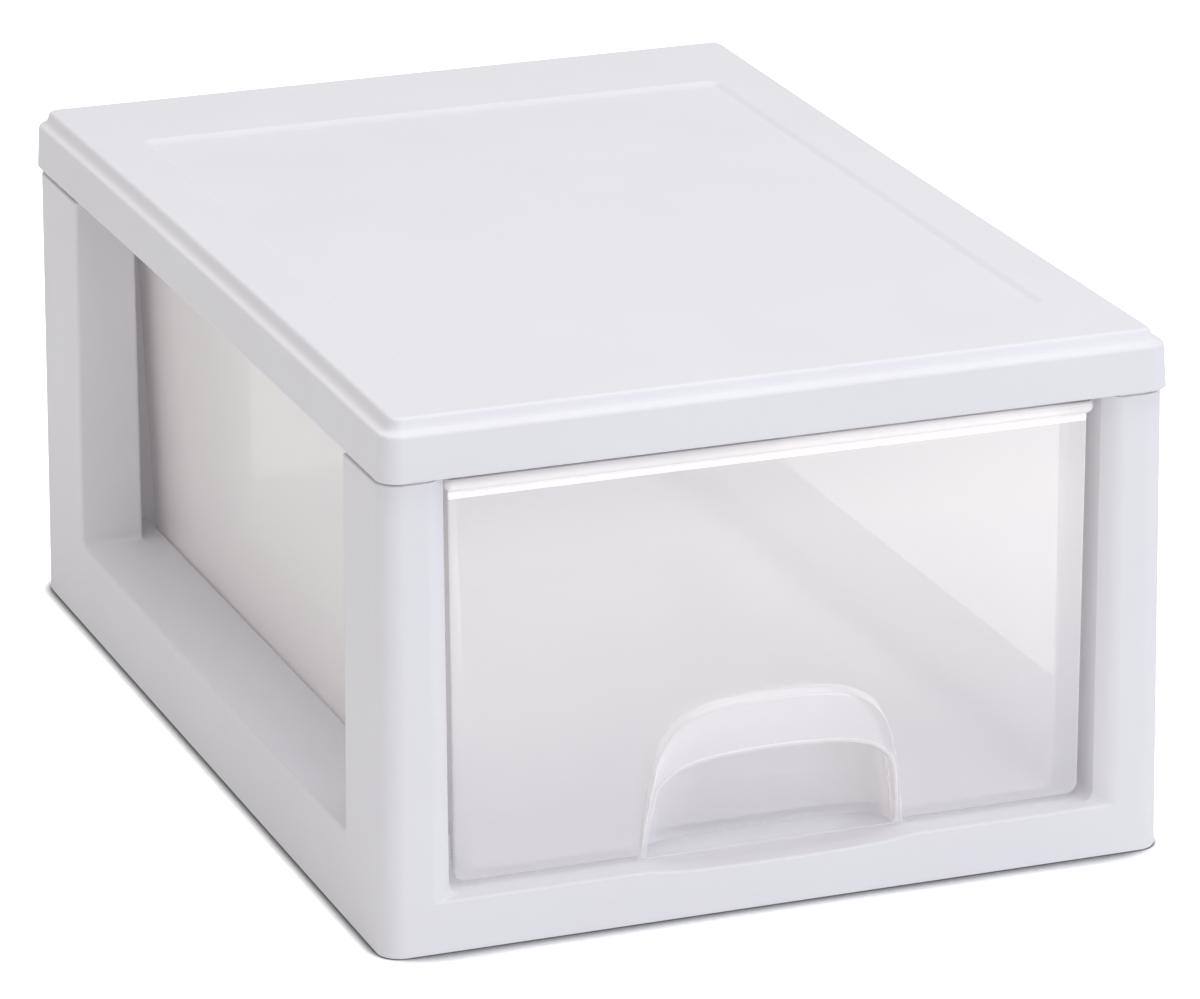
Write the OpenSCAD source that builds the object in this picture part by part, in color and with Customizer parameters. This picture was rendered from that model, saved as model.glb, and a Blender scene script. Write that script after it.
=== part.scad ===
// Stackable drawer box: a white frame on four posts, a white lid that clips onto them and has a
// raised stacking platform, and a clear drawer with an arched finger pull.
// The origin is the centre of the foot. X is to the right, Y to the back and Z up.

/* [Frame] */
// Width of the frame at its foot
frame_w = 258; // [220:1:320]
// Length of the frame, front to back, at its foot
frame_l = 368; // [320:1:420]
// Height of the post shoulders, under the lid's skirt
shoulder_h = 151; // [125:1:180]
// Outside corner radius at the foot
corner_r = 10; // [8:0.5:14]
// Lean of the outside faces, per mm of height
frame_lean = 0.008; // [0.002:0.001:0.012]
// Thickness of the frame's walls
frame_wall = 2.2; // [1.6:0.1:3]
// Height of the side and rear rails
rail_h = 29; // [25:0.5:36]
// Width of a side rail, outside face to inside face
side_rail_w = 30; // [26:0.5:36]
// Width of the rear rail, outside face to inside face
rear_rail_w = 29; // [24:0.5:36]
// Thickness of a post, outside face to inside face
post_w = 22; // [16:0.5:24]
// Length of a front post along the side
front_post_l = 36; // [28:0.5:48]
// Length of a rear post along the side
rear_post_l = 50; // [40:0.5:60]
// Width of the rear window
rear_window_w = 121; // [60:1:150]
// Radius on the inner front edges of the front posts
jamb_r = 6; // [3:0.5:9]

/* [Floor] */
// Height of the ledges that the drawer slides on
floor_h = 18.5; // [16:0.5:22]
// How far the front ledge lies below the ledges that the drawer slides on
ledge_step = 0.8; // [0.4:0.1:1]
// Drop of the sill from the front ledge to its front edge
sill_drop = 0.8; // [0.4:0.1:2]
// Depth of the sloping sill
sill_l = 9; // [6:0.5:12]
// Width of a side ledge
side_ledge_w = 23; // [16:1:30]
// Length of the front ledge, from the front face
front_ledge_l = 58; // [46:1:80]
// Length of the rear ledge
rear_ledge_l = 40; // [24:1:60]
// Depth of the lip round the floor opening
floor_lip_h = 9; // [6:0.5:12]
// Corner radius of the floor opening
floor_corner_r = 15; // [8:1:24]
// Diameter of the two round holes in the front ledge
ledge_hole_d = 10; // [6:0.5:14]

/* [Finger scoop] */
// Width of the scoop in the sill
scoop_w = 86; // [70:1:100]
// Depth of the scoop below the front edge of the sill
scoop_drop = 1.9; // [1:0.1:3]
// Greatest depth of the scoop below the ledge
scoop_deep = 5.4; // [4.5:0.1:6.5]
// Length of the scoop, from the front face
scoop_l = 29; // [26:1:34]

/* [Lid] */
// Height of the lid's skirt
skirt_h = 14.7; // [12:0.1:18]
// Gap between the post shoulders and the skirt
skirt_gap = 0.9; // [0.4:0.1:1.5]
// How far the skirt stands out past the ends of the foot
skirt_over = 2.1; // [1:0.1:3]
// How far the skirt stays inside the sides of the foot
skirt_under = 0.4; // [0:0.1:1]
// Corner radius of the skirt
skirt_r = 11; // [8:0.5:14]
// Lean of the skirt, per mm of height
skirt_lean = 0.064; // [0.03:0.002:0.08]
// Width of the ledge that the next box stands on, at the sides
lid_ledge_w = 3.4; // [2.8:0.1:4.5]
// Width of the ledge that the next box stands on, at the front and rear
lid_ledge_l = 4.2; // [4:0.1:6]
// Corner radius of the raised platform
platform_r = 5; // [3:0.5:8]
// Height of the raised platform
platform_h = 4.2; // [3:0.1:5]
// Lean of the platform's edge, per mm of height
platform_lean = 0.35; // [0.2:0.05:0.5]
// Thickness of the lid's walls
lid_wall = 2.2; // [1.6:0.1:2.6]
// Width of the border beside the sunken panel
panel_border_side = 20; // [12:1:40]
// Width of the border before the sunken panel
panel_border_front = 37; // [20:1:50]
// Width of the border behind the sunken panel
panel_border_rear = 49; // [20:1:60]
// Depth of the sunken panel
panel_sink = 1; // [0.5:0.1:1.5]
// Corner radius of the sunken panel
panel_r = 3; // [1:0.5:8]
// Length of each of the lid's four catches
catch_l = 16; // [10:1:24]

/* [Drawer] */
// Gap between the drawer and each side rail, at the floor
drawer_side_gap = 0.7; // [0.5:0.1:1.5]
// Gap between the drawer and the ledges
drawer_floor_gap = 0.3; // [0.2:0.1:0.6]
// Gap between the drawer and the rear rail, at the floor
drawer_rear_gap = 5.7; // [4.5:0.1:8]
// Gap between the drawer's rim and the lid's skirt, by height
drawer_top_gap = 2.4; // [1.5:0.1:4]
// Gap between the drawer's front panel and each front post
panel_side_gap = 2; // [1.5:0.1:3]
// How far the front panel stands back from the front face
panel_setback = 8.2; // [7:0.1:11]
// Lean of the drawer's walls, per mm of height
drawer_lean = 0.031; // [0.02:0.001:0.034]
// Thickness of the drawer's walls
drawer_wall = 2; // [1.5:0.1:2.6]
// Corner radius of the drawer at its floor
drawer_r = 14; // [10:1:20]
// Radius of the rolled lip along the top of the front panel
lip_r = 2.4; // [2:0.1:2.8]
// Radius of the front panel's lower corners
panel_corner_r = 5; // [3:0.5:8]

/* [Finger pull] */
// Width of the pull where it meets the bottom of the panel
pull_w = 90; // [80:1:100]
// Height of the pull above the bottom of the drawer
pull_h = 48.5; // [44:0.5:60]
// Height of the finger opening above the bottom of the drawer
opening_h = 30.5; // [26:0.5:36]
// How far the hood stands out in front of the panel
hood_out = 5; // [3:0.5:5.5]
// Depth of the finger pocket behind the panel
pocket_l = 16.5; // [14:0.5:20]
// Thickness of the finger pull's walls
pull_wall = 2; // [1.5:0.1:2.5]

/* [Hidden] */
$fn = 64;
eps = 0.01;
// How far a cutting shape goes past the face that it cuts
past = 1;
white = [0.92, 0.92, 0.94];
clear = [0.86, 0.89, 0.92, 0.55];

// Frame
front_y = -frame_l / 2;
rear_y = frame_l / 2;
bay_w = frame_w - 2 * side_rail_w;
bay_rear_y = rear_y - rear_rail_w;
post_in = frame_w / 2 - post_w;
window_front_y = front_y + front_post_l;
window_rear_y = rear_y - rear_post_l;
front_ledge_h = floor_h - ledge_step;
opening_w = bay_w - 2 * side_ledge_w;
opening_front_y = front_y + front_ledge_l;
opening_rear_y = bay_rear_y - rear_ledge_l;
jamb_corner_r = 4;
ledge_hole_side = 26;
ledge_hole_x = bay_w / 2 - ledge_hole_side;
ledge_hole_back = 7;
step_back = 2;
scoop_corner_r = 10;

// Lid, from the bottom of the skirt up
skirt_z = shoulder_h + skirt_gap;
lid_ledge_z = skirt_z + skirt_h;
lid_top_z = lid_ledge_z + platform_h;
skirt_w = frame_w - 2 * skirt_under;
skirt_l = frame_l + 2 * skirt_over;
ledge_out_w = skirt_w - 2 * skirt_lean * skirt_h;
ledge_out_l = skirt_l - 2 * skirt_lean * skirt_h;
ledge_out_r = skirt_r - skirt_lean * skirt_h;
platform_w = ledge_out_w - 2 * lid_ledge_w;
platform_l = ledge_out_l - 2 * lid_ledge_l;
lid_seat_z = lid_ledge_z - lid_wall;
lid_in_w = ledge_out_w - 2 * lid_wall;
lid_in_l = ledge_out_l - 2 * lid_wall;
lid_in_r = ledge_out_r - lid_wall;

// Necks on the posts, inside the skirt, with a groove for each of the lid's catches
neck_gap = 0.4;
neck_wall = 2.6;
neck_w = lid_in_w - 2 * neck_gap;
neck_l = lid_in_l - 2 * neck_gap;
neck_r = lid_in_r - neck_gap;
catch_out = 1.1;
catch_tall = 2.4;
catch_root = 1;
catch_z = skirt_z + 5;
catch_gap = 0.3;
catch_front_y = front_y + front_post_l / 2;
catch_rear_y = rear_y - rear_post_l / 2;

// Drawer
drawer_z = floor_h + drawer_floor_gap;
drawer_top_z = skirt_z - drawer_top_gap;
drawer_h = drawer_top_z - drawer_z;
drawer_w = bay_w - 2 * drawer_side_gap;
panel_y = front_y + panel_setback;
panel_back_y = panel_y + drawer_wall;
panel_rail_gap = 0.4;
rail_front_y = panel_back_y + panel_rail_gap;
drawer_rear_y = bay_rear_y - drawer_rear_gap;
panel_w = 2 * (post_in - panel_side_gap);
panel_narrow = 1.2;
panel_foot = 1.7;
lip_out = 0.4;
lip_down = 0.4;
pull_lean = 0.19;
pull_corner_r = 16;
opening_in = 4.2;
opening_lean = 0.06;
opening_corner_r = 9;
opening_rim = 0.8;
pocket_in = 2.4;
pocket_bow_r = 112;

// A block on a rounded rectangle whose faces all lean in by the same slope.
// A negative slope makes it wider towards the top.
module leaning_block(w, l, h, r, slope) {
    lean = slope * h;
    for (sx = [-1, 1], sy = [-1, 1])
        translate([sx * (w / 2 - r), sy * (l / 2 - r), 0])
            cylinder(h = h, r1 = r, r2 = r - lean);
    rotate([90, 0, 0])
        linear_extrude(l - 2 * r, center = true)
            polygon([[-w / 2, 0], [w / 2, 0], [w / 2 - lean, h], [-w / 2 + lean, h]]);
    rotate([90, 0, 90])
        linear_extrude(w - 2 * r, center = true)
            polygon([[-l / 2, 0], [l / 2, 0], [l / 2 - lean, h], [-l / 2 + lean, h]]);
}

// A rectangle with round corners, centred on the origin
module round_rect(w, l, r) {
    square([w - 2 * r, l], center = true);
    square([w, l - 2 * r], center = true);
    for (sx = [-1, 1], sy = [-1, 1])
        translate([sx * (w / 2 - r), sy * (l / 2 - r)])
            circle(r);
}

// A box between two opposite corners
module span(a, b) {
    translate(a) cube(b - a);
}

// Cuts an outline drawn in X and Z through the object, from one Y to another
module front_prism(y0, y1) {
    translate([0, y1, 0])
        rotate([90, 0, 0])
            linear_extrude(y1 - y0)
                children();
}

// Everything inside the frame's outside walls, up to a given height
module frame_core(h) {
    leaning_block(frame_w - 2 * frame_wall, frame_l - 2 * frame_wall, h, corner_r - frame_wall, frame_lean);
}

// Plan of the hollow in one front post
module front_post_hollow() {
    r = jamb_r - frame_wall;
    w = post_w - frame_wall;
    l = front_post_l - frame_wall;
    translate([post_in + frame_wall + w / 2, front_y + l / 2])
        round_rect(w, l, r);
}

// Plan of the hollow in one rear post and the rear wall beside it
module rear_post_hollow() {
    translate([post_in + frame_wall, window_rear_y + frame_wall])
        square([post_w, rear_post_l]);
    translate([rear_window_w / 2 + frame_wall, bay_rear_y + frame_wall])
        square([frame_w / 2 - rear_window_w / 2, rear_rail_w]);
}

// The hollow in the frame, which is open below
module frame_hollow() {
    rail_top = rail_h - frame_wall;
    rail_in = bay_w / 2 + frame_wall;
    intersection() {
        translate([0, 0, -eps]) frame_core(shoulder_h - frame_wall + eps);
        union() {
            span([-frame_w / 2, front_y, -past], [frame_w / 2, rear_y, front_ledge_h - frame_wall]);
            span([-frame_w / 2, bay_rear_y + frame_wall, 0], [frame_w / 2, rear_y, rail_top]);
            for (s = [0, 1]) mirror([s, 0]) {
                span([rail_in, rail_front_y + frame_wall, 0], [frame_w / 2, rear_y, rail_top]);
                linear_extrude(shoulder_h) front_post_hollow();
                linear_extrude(shoulder_h) rear_post_hollow();
            }
        }
    }
}

// The space that the drawer moves in, open to the front and the top
module drawer_bay() {
    span([-bay_w / 2, rail_front_y - eps, floor_h], [bay_w / 2, bay_rear_y, lid_top_z]);
    span([-post_in, rail_front_y, rail_h], [post_in, bay_rear_y, lid_top_z]);
    span([-bay_w / 2, rail_front_y - eps, front_ledge_h],
         [bay_w / 2, opening_front_y - step_back, floor_h + eps]);
    front_prism(front_y - eps, rail_front_y) jamb_outline();
    rotate([90, 0, 90])
        linear_extrude(2 * (post_in - jamb_corner_r), center = true)
            polygon([[front_y - eps, front_ledge_h - sill_drop], [front_y + sill_l, front_ledge_h],
                     [front_y - eps, front_ledge_h]]);
    for (s = [0, 1]) mirror([s, 0])
        jamb_round();
}

// Outline of the front opening, between the posts, in X and Z
module jamb_outline() {
    r = jamb_corner_r;
    translate([-post_in, front_ledge_h + r]) square([2 * post_in, lid_top_z - front_ledge_h - r]);
    translate([-post_in + r, front_ledge_h]) square([2 * (post_in - r), r + eps]);
    for (sx = [-1, 1])
        translate([sx * (post_in - r), front_ledge_h + r]) circle(r);
}

// Rounds the inner front edge of the right-hand post
module jamb_round() {
    r = jamb_r;
    translate([post_in, front_y, front_ledge_h + jamb_corner_r])
        linear_extrude(lid_top_z)
            difference() {
                translate([-past, -past]) square(r + past);
                translate([r, r]) circle(r);
            }
}

// The finger scoop in the sill: a shallow cylinder that gets deeper to the back
module scoop(grow = 0) {
    drop_r = (pow(scoop_w / 2, 2) + pow(scoop_drop, 2)) / (2 * scoop_drop);
    edge_z = front_ledge_h - sill_drop;
    fall = atan((scoop_deep - ledge_step - sill_drop - scoop_drop) / scoop_l);
    intersection() {
        translate([0, front_y, edge_z - scoop_drop - grow + drop_r])
            rotate([-90 - fall, 0, 0])
                translate([0, 0, -scoop_l])
                    cylinder(h = 3 * scoop_l, r = drop_r, $fn = 360);
        translate([0, front_y, edge_z - scoop_deep - grow])
            linear_extrude(scoop_deep + grow + ledge_step + past)
                round_rect(scoop_w + 2 * grow, 2 * (scoop_l + grow), scoop_corner_r + grow);
    }
}

// The opening in the floor, larger by a wall all round when it is grown
module floor_opening(z0, z1, grow = 0) {
    l = opening_rear_y - opening_front_y;
    translate([0, opening_front_y + l / 2, z0])
        linear_extrude(z1 - z0)
            round_rect(opening_w + 2 * grow, l + 2 * grow, floor_corner_r + grow);
}

// One corner's neck: a wall that follows the inside of the lid's skirt
module necks() {
    z0 = shoulder_h - frame_wall;
    intersection() {
        difference() {
            translate([0, 0, z0])
                linear_extrude(lid_seat_z - z0) round_rect(neck_w, neck_l, neck_r);
            translate([0, 0, z0 - eps])
                linear_extrude(lid_seat_z)
                    round_rect(neck_w - 2 * neck_wall, neck_l - 2 * neck_wall, neck_r - neck_wall);
            catches(catch_gap);
        }
        union()
            for (s = [0, 1]) mirror([s, 0]) {
                span([post_in + jamb_r, front_y, 0], [frame_w / 2, window_front_y, lid_top_z]);
                span([post_in, window_rear_y, 0], [frame_w / 2, rear_y, lid_top_z]);
                span([rear_window_w / 2, bay_rear_y, 0], [frame_w / 2, rear_y, lid_top_z]);
            }
    }
}

// The lid's catches, or the grooves for them when grown by a gap
module catches(grow = 0) {
    for (sx = [0, 1], y = [catch_front_y, catch_rear_y])
        mirror([sx, 0])
            translate([lid_in_w / 2, y, catch_z])
                rotate([90, 0, 0])
                    linear_extrude(catch_l + 2 * grow, center = true)
                        polygon([[catch_root, -catch_tall / 2 - grow], [catch_root, catch_tall / 2 + grow],
                                 [0, catch_tall / 2 + grow], [-catch_out - grow, 0],
                                 [0, -catch_tall / 2 - grow]]);
}

module frame() {
    color(white) {
        difference() {
            union() {
                difference() {
                    leaning_block(frame_w, frame_l, shoulder_h, corner_r, frame_lean);
                    frame_hollow();
                }
                // Webs behind the bay, the windows and the floor opening
                intersection() {
                    frame_core(shoulder_h - eps);
                    union() {
                        scoop(frame_wall);
                        floor_opening(floor_h - floor_lip_h, floor_h, frame_wall);
                        span([-bay_w / 2 - frame_wall, rail_front_y, front_ledge_h - frame_wall],
                             [bay_w / 2 + frame_wall, bay_rear_y, floor_h]);
                    }
                }
            }
            drawer_bay();
            scoop();
            floor_opening(-past, lid_top_z);
            span([-frame_w, window_front_y, rail_h], [frame_w, window_rear_y, lid_top_z]);
            span([-rear_window_w / 2, bay_rear_y - eps, rail_h],
                 [rear_window_w / 2, rear_y + past, lid_top_z]);
            for (sx = [-1, 1])
                translate([sx * ledge_hole_x, opening_front_y - ledge_hole_back, 0])
                    cylinder(h = floor_h, d = ledge_hole_d);
        }
        necks();
    }
}

module lid() {
    sunk_w = platform_w - 2 * panel_border_side;
    sunk_l = platform_l - panel_border_front - panel_border_rear;
    sunk_y = (panel_border_front - panel_border_rear) / 2;
    color(white) {
        difference() {
            union() {
                translate([0, 0, skirt_z])
                    leaning_block(skirt_w, skirt_l, skirt_h, skirt_r, skirt_lean);
                translate([0, 0, lid_ledge_z])
                    leaning_block(platform_w, platform_l, platform_h, platform_r, platform_lean);
            }
            translate([0, 0, skirt_z - eps])
                linear_extrude(lid_seat_z - skirt_z + eps) round_rect(lid_in_w, lid_in_l, lid_in_r);
            difference() {
                translate([0, 0, lid_seat_z])
                    leaning_block(platform_w - 2 * lid_wall, platform_l - 2 * lid_wall, platform_h,
                                  platform_r - lid_wall / 2, platform_lean);
                translate([0, sunk_y, lid_top_z - lid_wall - panel_sink])
                    linear_extrude(lid_wall)
                        round_rect(sunk_w + 2 * lid_wall, sunk_l + 2 * lid_wall, panel_r + lid_wall);
            }
            translate([0, sunk_y, lid_top_z - panel_sink])
                linear_extrude(lid_wall) round_rect(sunk_w, sunk_l, panel_r);
        }
        catches();
    }
}

// Half of an arch's outline, from its foot to its top: the side leans in and the shoulder is round
function half_arch(w, h, lean, r, n = 8) =
    let (k = sqrt(1 + lean * lean), cx = w / 2 - lean * (h - r) - r * k, a0 = atan(lean))
    concat([[w / 2, 0]],
           [for (i = [0:n]) let (a = a0 + (90 - a0) * i / n) [cx + r * cos(a), h - r + r * sin(a)]]);

// Outline of an arch in X and Z that stands on Z = 0
module arch(w, h, lean, r) {
    side = half_arch(w, h, lean, r);
    polygon(concat(side, [for (i = [len(side) - 1:-1:0]) [-side[i][0], side[i][1]]]));
}

// The bin's block, with its walls moved in by a given distance, cut off flat at the panel
module bin_block(inset, front) {
    l = drawer_rear_y - panel_y;
    h = drawer_h - inset + eps * sign(inset);
    r = drawer_r - inset;
    intersection() {
        translate([0, panel_y + l / 2 - drawer_r, drawer_z + inset])
            leaning_block(drawer_w - 2 * inset, l + 2 * drawer_r - 2 * inset, h, r, -drawer_lean);
        span([-frame_w, front, 0], [frame_w, frame_l, lid_top_z]);
    }
}

// The front panel's plate
module front_panel() {
    z0 = drawer_z + panel_foot;
    h = drawer_top_z - z0;
    w0 = panel_w / 2 - panel_narrow;
    r = panel_corner_r;
    front_prism(panel_y, panel_back_y) {
        polygon([[-w0, z0 + r], [w0, z0 + r], [panel_w / 2, drawer_top_z], [-panel_w / 2, drawer_top_z]]);
        translate([-w0 + r, z0]) square([2 * (w0 - r), r + eps]);
        for (sx = [-1, 1])
            translate([sx * (w0 - r), z0 + r]) circle(r);
    }
    translate([0, panel_y - lip_out, drawer_top_z - lip_r - lip_down])
        rotate([0, 90, 0])
            cylinder(h = panel_w, r = lip_r, center = true);
}

// The hood of the finger pull, smaller all round by the inset
module hood(inset) {
    front = panel_y - hood_out;
    w = pull_w - 2 * opening_in;
    hull() {
        front_prism(panel_y, panel_back_y)
            translate([0, drawer_z])
                arch(pull_w - 2 * inset, pull_h - inset, pull_lean, pull_corner_r - inset);
        front_prism(front, front + eps)
            translate([0, drawer_z])
                arch(w + 2 * (opening_rim - inset), opening_h + opening_rim - inset, opening_lean,
                     opening_corner_r + opening_rim - inset);
    }
}

// The finger pocket behind the panel, smaller all round by the inset
module pocket(inset) {
    back = panel_y + pocket_l - inset;
    intersection() {
        front_prism(panel_y - (inset > 0 ? eps : 0), back)
            translate([0, drawer_z])
                arch(pull_w - 2 * pocket_in - 2 * inset, pull_h - inset, pull_lean, pull_corner_r - inset);
        translate([0, back - pocket_bow_r, 0])
            cylinder(h = lid_top_z, r = pocket_bow_r, $fn = 180);
    }
}

module drawer() {
    color(clear)
        difference() {
            union() {
                difference() {
                    bin_block(0, panel_y);
                    bin_block(drawer_wall, panel_back_y);
                }
                front_panel();
                hood(0);
                pocket(0);
            }
            // The hollow behind the hood and the way in for the fingers
            hood(pull_wall);
            pocket(pull_wall);
            front_prism(panel_y - hood_out - past, panel_back_y)
                translate([0, drawer_z])
                    arch(pull_w - 2 * opening_in, opening_h, opening_lean, opening_corner_r);
            // The slope under the panel
            rotate([90, 0, 90])
                linear_extrude(frame_w, center = true)
                    polygon([[panel_y - hood_out - past, drawer_z - past],
                             [panel_y + panel_foot, drawer_z - past], [panel_y + panel_foot, drawer_z],
                             [panel_y, drawer_z + panel_foot],
                             [panel_y - hood_out - past, drawer_z + panel_foot]]);
        }
}

frame();
lid();
drawer();
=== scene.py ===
# %% [markdown]
# A small stacking drawer box stands on a white table. It has three moulded pieces: a white frame on four
# posts, a white lid that clips on, and a clear drawer with an arched finger pull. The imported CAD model
# gives the frame of the scene: its bodies, its boxes and its one joint. Each piece here is built finer than
# the CAD solid that it stands for, with the rounded edges that a mould leaves, because those edges catch
# the light and make plastic look like plastic.

import math

import bmesh
import bpy
from mathutils import Matrix, Vector


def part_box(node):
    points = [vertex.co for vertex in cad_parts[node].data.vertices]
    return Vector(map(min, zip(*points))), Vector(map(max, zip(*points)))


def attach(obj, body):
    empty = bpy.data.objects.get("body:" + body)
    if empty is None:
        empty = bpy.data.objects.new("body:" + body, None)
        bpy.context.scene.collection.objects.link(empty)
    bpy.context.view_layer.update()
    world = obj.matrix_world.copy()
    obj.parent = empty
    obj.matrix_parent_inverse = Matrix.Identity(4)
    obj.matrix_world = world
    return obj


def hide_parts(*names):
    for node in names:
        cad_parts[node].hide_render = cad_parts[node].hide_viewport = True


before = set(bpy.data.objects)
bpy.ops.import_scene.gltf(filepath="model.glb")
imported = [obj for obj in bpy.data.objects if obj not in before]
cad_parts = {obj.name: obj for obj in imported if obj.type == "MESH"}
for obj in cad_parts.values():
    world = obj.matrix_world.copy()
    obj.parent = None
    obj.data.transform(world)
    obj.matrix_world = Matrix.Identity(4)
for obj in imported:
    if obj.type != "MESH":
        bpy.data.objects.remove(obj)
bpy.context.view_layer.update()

# %% [markdown]
# The camera comes first. Its place was solved from the straight edges of the photograph: a long lens, far
# away, a little to the left and above. A long lens keeps the box's edges almost parallel.

# %% Camera
MM = 0.001
CAMERA_PLACE = (-727.14, -1967.03, 793.25)
AZIMUTH = math.radians(-20.545)
ELEVATION = math.radians(18.963)
ROLL = math.radians(-0.236)
FOCAL_LENGTH = 202.58


def camera_axes(azimuth, elevation, roll):
    """The camera's right, up and back directions as the columns of a rotation."""
    level_part = math.cos(elevation)
    back = (math.sin(azimuth) * level_part, -math.cos(azimuth) * level_part, math.sin(elevation))
    level = Matrix(((math.cos(azimuth), math.sin(azimuth), 0), (0, 0, 0), back))
    level[1] = level[2].cross(level[0])
    return (Matrix.Rotation(-roll, 3, "Z") @ level).transposed()


camera = bpy.data.objects.new("camera", bpy.data.cameras.new("camera"))
bpy.context.scene.collection.objects.link(camera)
camera.data.sensor_width = 36
camera.data.lens = FOCAL_LENGTH
camera.data.clip_start = 0.1
camera.data.clip_end = 50
camera.matrix_world = camera_axes(AZIMUTH, ELEVATION, ROLL).to_4x4()
camera.location = [c * MM for c in CAMERA_PLACE]
bpy.context.scene.camera = camera
bpy.context.scene.view_settings.view_transform = "Standard"
print("Camera at", [round(c, 3) for c in camera.location])

# %% [markdown]
# Everything is modelled in millimetres and turned to metres at the end. A moulded part is a stack of
# outlines: each level has the same number of points, so neighbouring levels join up with plain four-sided
# faces. An outline here is a rectangle with round corners, and its straight sides are divided too, so that
# a side can bow.

# %% Outlines
CORNER_STEPS = 10
SIDE_STEPS = 8
SHARP_ANGLE = 35
REAR_ROUNDER = 4.0


def arc(centre, radius, start, end, steps):
    """Points on an arc, with angles in degrees, both ends included."""
    angles = [math.radians(start + (end - start) * i / steps) for i in range(steps + 1)]
    return [(centre[0] + radius * math.cos(a), centre[1] + radius * math.sin(a)) for a in angles]


def corners(radius, rounder=REAR_ROUNDER):
    """Radii for an outline: the two rear corners are rounder than the two in front."""
    return [radius + rounder, radius + rounder, radius, radius]


def divided(points, steps):
    """A closed outline with extra points on its straight sides, from one corner to the next."""
    count = len(points) // 4
    out = []
    for corner in range(4):
        out += points[corner * count:(corner + 1) * count]
        a = points[(corner + 1) * count - 1]
        b = points[(corner + 1) * count % len(points)]
        out += [(a[0] + (b[0] - a[0]) * i / steps, a[1] + (b[1] - a[1]) * i / steps) for i in range(1, steps)]
    return out


def round_rect(half_w, half_l, radii, centre=(0, 0)):
    """A rectangle with round corners, drawn anticlockwise from the back right corner."""
    if not isinstance(radii, (list, tuple)):
        radii = [radii] * 4
    signs = [(1, 1), (-1, 1), (-1, -1), (1, -1)]
    points = []
    for i, (sx, sy) in enumerate(signs):
        r = max(radii[i], 0.02)
        c = (centre[0] + sx * (half_w - r), centre[1] + sy * (half_l - r))
        points += arc(c, r, 90 * i, 90 * i + 90, CORNER_STEPS)
    return divided(points, SIDE_STEPS)


def bowed(outline, amount):
    """Draws the long sides in by a distance at mid-length, as a cooling moulding does."""
    half_w = max(x for x, y in outline)
    half_l = max(y for x, y in outline)
    return [(x * (1 - amount / half_w * (1 - (y / half_l) ** 2)), y) for x, y in outline]


# %% Lofts: outlines joined into closed solids
def mesh_object(name, verts, faces):
    mesh = bpy.data.meshes.new(name)
    mesh.from_pydata(verts, [], faces)
    mesh.update()
    obj = bpy.data.objects.new(name, mesh)
    bpy.context.scene.collection.objects.link(obj)
    return obj


def loft(name, rings):
    """Joins rings of equal length, one after the other, and caps the two ends."""
    n = len(rings[0])
    verts = [p for ring in rings for p in ring]
    faces = []
    for k in range(len(rings) - 1):
        a, b = k * n, (k + 1) * n
        faces += [(a + i, a + (i + 1) % n, b + (i + 1) % n, b + i) for i in range(n)]
    faces.append(tuple(reversed(range(n))))
    faces.append(tuple(range((len(rings) - 1) * n, len(rings) * n)))
    return face_outwards(mesh_object(name, verts, faces))


def face_outwards(obj):
    """Turns every face of a closed mesh outwards."""
    bm = bmesh.new()
    bm.from_mesh(obj.data)
    bmesh.ops.recalc_face_normals(bm, faces=bm.faces)
    if bm.calc_volume(signed=True) < 0:
        bmesh.ops.reverse_faces(bm, faces=bm.faces)
    bm.to_mesh(obj.data)
    bm.free()
    return obj


def at_height(outline, z):
    return [(x, y, z) for x, y in outline]


# %% Cutting and joining
def baked(obj):
    """Applies an object's modifiers and gives it the finished mesh."""
    graph = bpy.context.evaluated_depsgraph_get()
    mesh = bpy.data.meshes.new_from_object(obj.evaluated_get(graph))
    obj.modifiers.clear()
    obj.data = mesh
    return obj


def combine(target, tools, operation):
    """Cuts the tools out of the target, or joins them to it, and removes the tools."""
    for tool in tools:
        step = target.modifiers.new(operation, "BOOLEAN")
        step.operation = operation
        step.solver = "EXACT"
        step.object = tool
        baked(target)
        bpy.data.objects.remove(tool)
    return target


def cut(target, *tools):
    return combine(target, tools, "DIFFERENCE")


def join(target, *tools):
    return combine(target, tools, "UNION")


def block(low, high, name="block"):
    """A plain box between two corners, used only as a cutting or joining tool."""
    (x0, y0, z0), (x1, y1, z1) = low, high
    ring = [(x1, y1), (x0, y1), (x0, y0), (x1, y0)]
    return loft(name, [at_height(ring, z0), at_height(ring, z1)])


def finish_piece(obj, material, body, slot, *nodes):
    """Millimetres to metres, soft shading with crisp edges, and a place in the assembly."""
    obj.data.transform(Matrix.Scale(MM, 4))
    obj.data.polygons.foreach_set("use_smooth", [True] * len(obj.data.polygons))
    obj.data.set_sharp_from_angle(angle=math.radians(SHARP_ANGLE))
    weighted = obj.modifiers.new("weighted", "WEIGHTED_NORMAL")
    weighted.keep_sharp = True
    weighted.weight = 100
    baked(obj)
    obj.data.materials.clear()
    obj.data.materials.append(material)
    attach(obj, body)
    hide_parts(*nodes)
    sizes = [round(d / MM, 1) for d in obj.dimensions]
    print(obj.name, "size in mm:", sizes, "faces:", len(obj.data.polygons))


# %% [markdown]
# Both plastics are polypropylene. The white one is filled with pigment and has a satin skin from a finely
# blasted mould: light comes back soft, with a broad weak highlight. Its real bumps are a fraction of a
# millimetre wide, too fine to show from here, so they are drawn one or two millimetres wide. Slow sink
# marks a few centimetres across lie where thick places shrank. The bump pattern reads object coordinates,
# so it keeps its size on each piece.

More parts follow.
